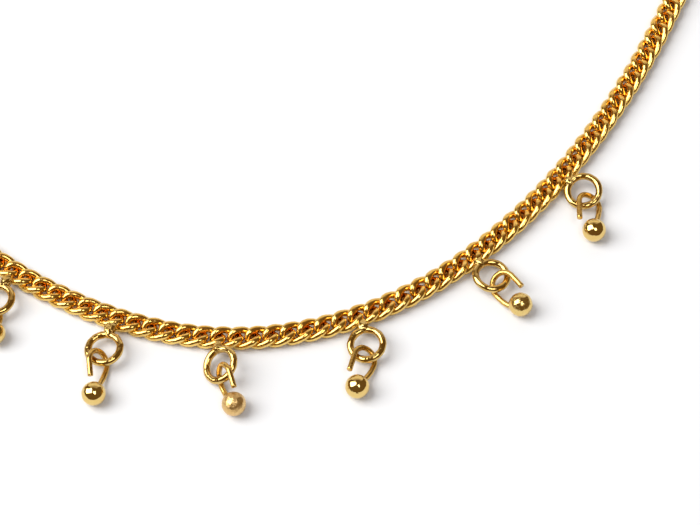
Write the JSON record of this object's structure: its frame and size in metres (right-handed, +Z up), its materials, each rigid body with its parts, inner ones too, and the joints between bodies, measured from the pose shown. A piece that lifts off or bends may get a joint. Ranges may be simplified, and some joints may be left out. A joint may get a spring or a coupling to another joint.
{
  "type": "nose ring with chain",
  "caption": "Nose hoop joined to a hair hook by a flat curb chain, with small ball drops hung on rings soldered along its edge.",
  "frame": {"origin": "middle of the object's footprint, on the surface that it lies on", "axes": "+X from the nose hoop towards the drops' right-hand end, +Y towards the hair hook, +Z up"},
  "size_m": [0.1292, 0.1024, 0.0049],
  "materials": {
    "chain_gold": "polished gold plating, warm yellow, orange-brown in the hollows between links",
    "ball_gold": "mirror-polished gold plating with fine scratches",
    "scuffed_ball_gold": "scuffed gold plating, matt and streaked",
    "hoop_gold": "plain polished gold plating"
  },
  "bodies": {
    "root": {"chain": "chain_gold", "ball_pin_1": "ball_gold", "ball_pin_2": "ball_gold", "ball_pin_3": "scuffed_ball_gold", "ball_pin_4": "ball_gold", "ball_pin_5": "ball_gold", "ball_pin_6": "ball_gold", "nose_hoop": "hoop_gold", "hair_hook": "hoop_gold"}
  },
  "joints": []
}
